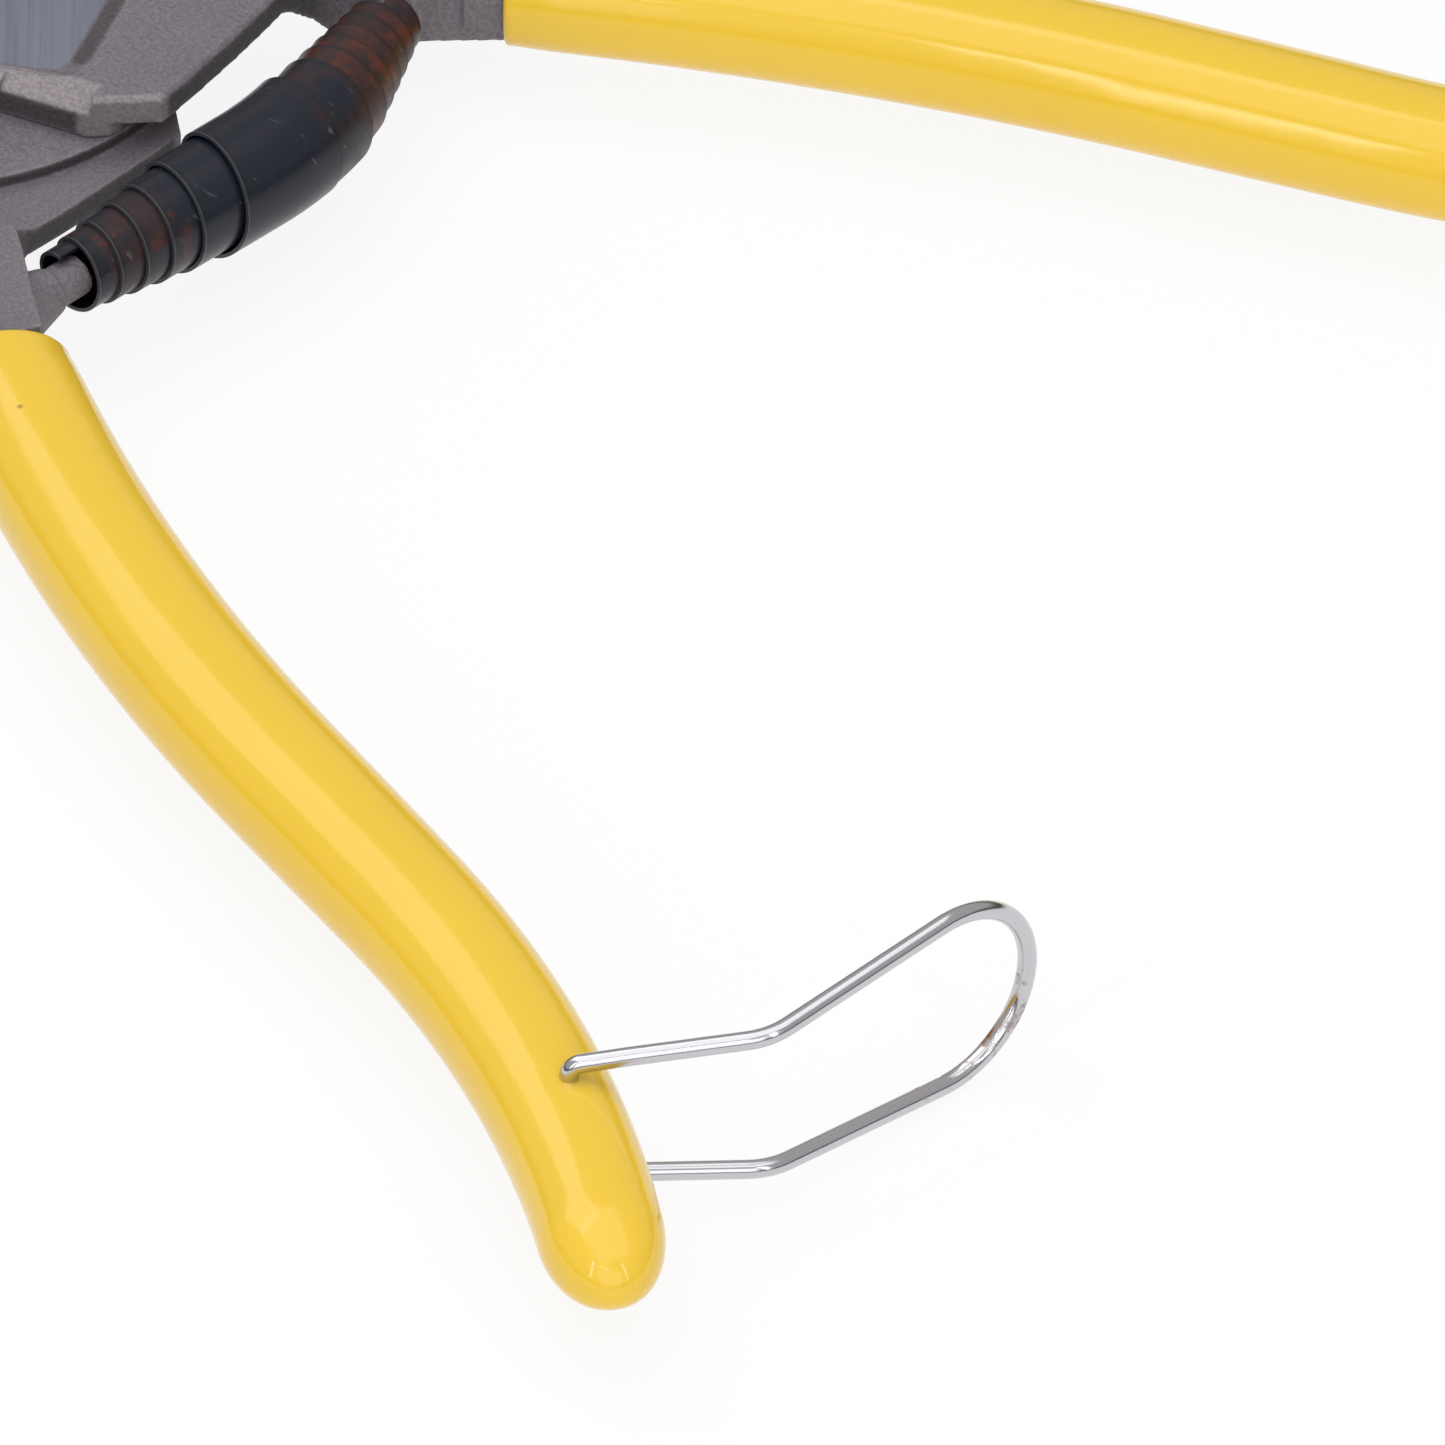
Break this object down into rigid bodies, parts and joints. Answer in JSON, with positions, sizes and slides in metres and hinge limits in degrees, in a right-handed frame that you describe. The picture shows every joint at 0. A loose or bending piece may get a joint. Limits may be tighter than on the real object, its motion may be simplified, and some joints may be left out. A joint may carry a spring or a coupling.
{
  "type": "sprung clamping pliers",
  "caption": "Plier type spring clamp: lapped forged jaws on a pivot bolt, dipped vinyl grips, a double volute opening spring and a wire loop that holds the handles shut.",
  "frame": {"origin": "on the pivot axis, at the flat underside of the bolt head", "axes": "+Z along the pivot axis from the bolt head to the nut, +X towards the jaws, +Y towards the handle that carries the wire catch"},
  "size_m": [0.2192, 0.2073, 0.0218],
  "materials": {
    "forged_steel": "matt, sandblasted forging",
    "yellow_vinyl": "glossy dipped vinyl",
    "bolt_steel": "satin",
    "washer_steel": "satin",
    "blackened_strip": "blue black oxide with light rust",
    "plated_wire": "bright plating"
  },
  "bodies": {
    "lower": {"lower_jaw_half": "forged_steel", "lower_grip": "yellow_vinyl", "pivot_bolt": "bolt_steel", "pivot_washer": "washer_steel", "pivot_nut": "bolt_steel", "return_spring": "blackened_strip"},
    "upper": {"upper_jaw_half": "forged_steel", "upper_grip": "yellow_vinyl"},
    "catch": {"wire_catch": "plated_wire"}
  },
  "joints": [
    {"name": "jaw_close", "type": "hinge", "parent": "lower", "child": "upper", "pos_m": [0, 0, 0.0067], "axis": [0, 0, -1], "range_deg": [0, 54], "stiffness_Nm_per_rad": 1.6, "springref_deg": -5.73, "deforming": ["return_spring"]},
    {"name": "catch_swing", "type": "hinge", "parent": "lower", "child": "catch", "pos_m": [-0.15035, 0.08681, 0.0067], "axis": [0, 0, -1], "range_deg": [0, 44]}
  ],
  "couplings": [
    {"joint": "catch_swing", "follows": "jaw_close", "ratio": 0.8}
  ]
}
